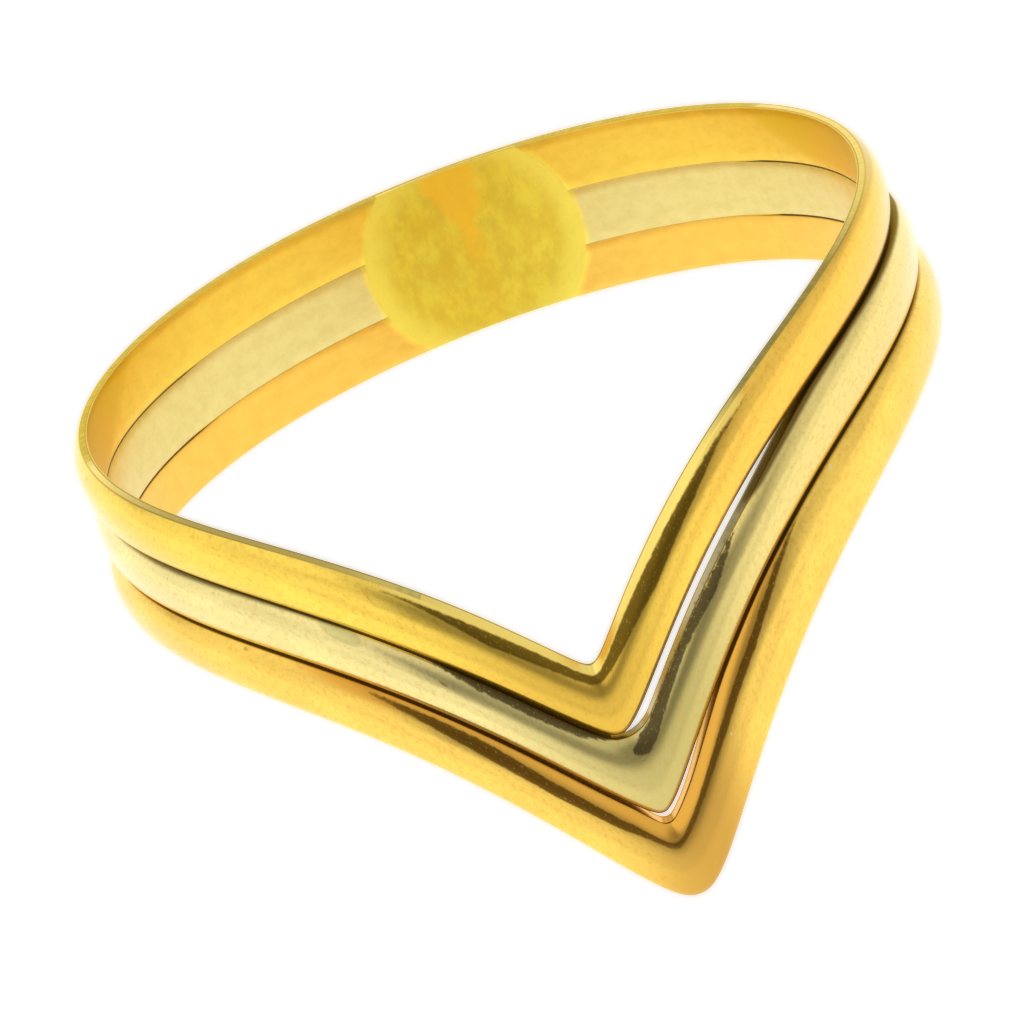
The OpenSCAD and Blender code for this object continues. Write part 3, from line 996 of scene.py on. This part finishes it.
def add_room(stage):
    """Pale room round the ring: bright up to the horizon, soft boxes above, dim elsewhere."""
    world = bpy.data.worlds.new("room")
    bpy.context.scene.world = world
    world.use_nodes = True
    room = Nodes(world.node_tree)
    unit = room.add("ShaderNodeVectorMath", operation="NORMALIZE")
    room.link(room.add("ShaderNodeTexCoord").outputs["Generated"], unit.inputs[0])
    ahead = unit.outputs[0]
    height = room.parts(ahead)["Z"]
    light = room.span(height, sine(HORIZON["dim"]), sine(HORIZON["bright"]),
                      stage.dim, stage.bright)
    for box in SOFT_BOXES:
        level = cosine(box["up"])
        middle = (sine(box["turn"]) * level, -cosine(box["turn"]) * level, sine(box["up"]))
        light = room.math("ADD", light, room.span(
            room.dot(ahead, middle), cosine(box["faded"]), cosine(box["bright"]),
            0.0, box["strength"]))
    light = room.math("MINIMUM", light, stage.bright)
    c, s = cosine(DARK_GAP["turn"]), sine(DARK_GAP["turn"])
    aside = room.math("ABSOLUTE", room.dot(ahead, (c, s, 0.0)))
    front = room.span(room.dot(ahead, (s, -c, 0.0)), DARK_GAP["begin"], DARK_GAP["front"])
    raised = room.span(height, sine(DARK_GAP["from"]), sine(DARK_GAP["full"]),
                       0.0, DARK_GAP["share"])
    gap = room.times(room.span(aside, sine(DARK_GAP["wide"]), sine(DARK_GAP["narrow"])),
                     room.times(front, raised))
    light = room.times(light, room.math("SUBTRACT", 1.0, gap))
    back = room.add("ShaderNodeBackground")
    back.inputs["Color"].default_value = (1, 1, 1, 1)
    room.link(light, back.inputs["Strength"])
    out = room.add("ShaderNodeOutputWorld")
    room.link(back.outputs[0], out.inputs["Surface"])


GLOW_SIZE = 7.0  # pixels
# Blue of the picture from gold to white ground, and the share of the soft picture there
GLOW_SHARE = (0.3, 1.0, 0.12, 0.7)


def add_glow():
    """Soft glow of the bright gold over the pale ground round its outline."""
    scene = bpy.context.scene
    scene.use_nodes = True
    glow = Nodes(scene.node_tree)
    capped = glow.add("CompositorNodeMixRGB", use_clamp=True)
    capped.inputs[0].default_value = 0.0
    glow.link(glow.add("CompositorNodeRLayers").outputs["Image"], capped.inputs[1])
    sharp = capped.outputs["Image"]
    soft = glow.add("CompositorNodeBlur", filter_type="GAUSS")
    soft.inputs["Size"].default_value = (GLOW_SIZE, GLOW_SIZE)
    glow.link(sharp, soft.inputs["Image"])
    parts = glow.add("CompositorNodeSeparateColor")
    glow.link(sharp, parts.inputs[0])
    share = glow.add("CompositorNodeMapRange", use_clamp=True)
    glow.link(parts.outputs["Blue"], share.inputs[0])
    for socket, value in zip(share.inputs[1:], GLOW_SHARE):
        socket.default_value = value
    mix = glow.add("CompositorNodeMixRGB")
    for source, socket in zip((share.outputs[0], sharp, soft.outputs["Image"]), mix.inputs):
        glow.link(source, socket)
    glow.link(mix.outputs[0], glow.add("CompositorNodeComposite").inputs["Image"])


# Operators and panel

class RING_OT_bands(bpy.types.Operator):
    """Build the three gold bands over their solids"""

    bl_idname = "wishbone_ring.bands"
    bl_label = "Gold Bands"

    def execute(self, context):
        finish = context.scene.ring_finish
        shape = RingShape(context.scene.ring_sizes)
        colours = (finish.yellow, finish.white, finish.warm)
        for n, (row, alloy, colour) in enumerate(zip(BANDS, ALLOYS, colours)):
            piece, marks_and_shade = build_band(shape, n)
            piece.data.materials.append(gold_finish(
                alloy, tuple(colour), tuple(finish.solder), marks_and_shade, finish.polish, finish.satin))
            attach(piece, "root")
            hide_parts(row["node"])
        return {"FINISHED"}


class RING_OT_solder(bpy.types.Operator):
    """Build the solder patch and the seam fillings over their solid"""

    bl_idname = "wishbone_ring.solder"
    bl_label = "Solder Joint"

    def execute(self, context):
        finish = context.scene.ring_finish
        shape = RingShape(context.scene.ring_sizes)
        piece = build_solder(shape)
        piece.data.materials.append(solder_finish(tuple(finish.solder), finish.satin))
        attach(piece, "root")
        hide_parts("solder_joint")
        return {"FINISHED"}


class RING_OT_stage(bpy.types.Operator):
    """Set up the floor, the light and the camera"""

    bl_idname = "wishbone_ring.stage"
    bl_label = "Floor, Light and Camera"

    def execute(self, context):
        stage = context.scene.ring_stage
        add_floor(stage)
        add_room(stage)
        add_camera(RingShape(context.scene.ring_sizes), stage)
        add_glow()
        context.scene.view_settings.view_transform = "Standard"
        return {"FINISHED"}


class RING_PT_sidebar(bpy.types.Panel):
    """Sizes, colours and builders of the ring"""

    bl_idname = "RING_PT_sidebar"
    bl_label = "Wishbone Ring"
    bl_space_type = "VIEW_3D"
    bl_region_type = "UI"
    bl_category = "Wishbone Ring"

    def draw(self, context):
        layout = self.layout
        for group in (context.scene.ring_sizes, context.scene.ring_finish,
                      context.scene.ring_stage):
            column = layout.column(align=True)
            for key in group.__annotations__:
                column.prop(group, key)
        for operator in (RING_OT_bands, RING_OT_solder, RING_OT_stage):
            layout.operator(operator.bl_idname)


CLASSES = (RingSizes, RingFinish, RingStage, RING_OT_bands, RING_OT_solder, RING_OT_stage,
           RING_PT_sidebar)


def register():
    for item in CLASSES:
        bpy.utils.register_class(item)
    bpy.types.Scene.ring_sizes = PointerProperty(type=RingSizes)
    bpy.types.Scene.ring_finish = PointerProperty(type=RingFinish)
    bpy.types.Scene.ring_stage = PointerProperty(type=RingStage)


def unregister():
    del bpy.types.Scene.ring_sizes, bpy.types.Scene.ring_finish, bpy.types.Scene.ring_stage
    for item in reversed(CLASSES):
        bpy.utils.unregister_class(item)


def main():
    register()
    bpy.ops.wishbone_ring.bands()
    bpy.ops.wishbone_ring.solder()
    bpy.ops.wishbone_ring.stage()


if __name__ == "__main__":
    main()
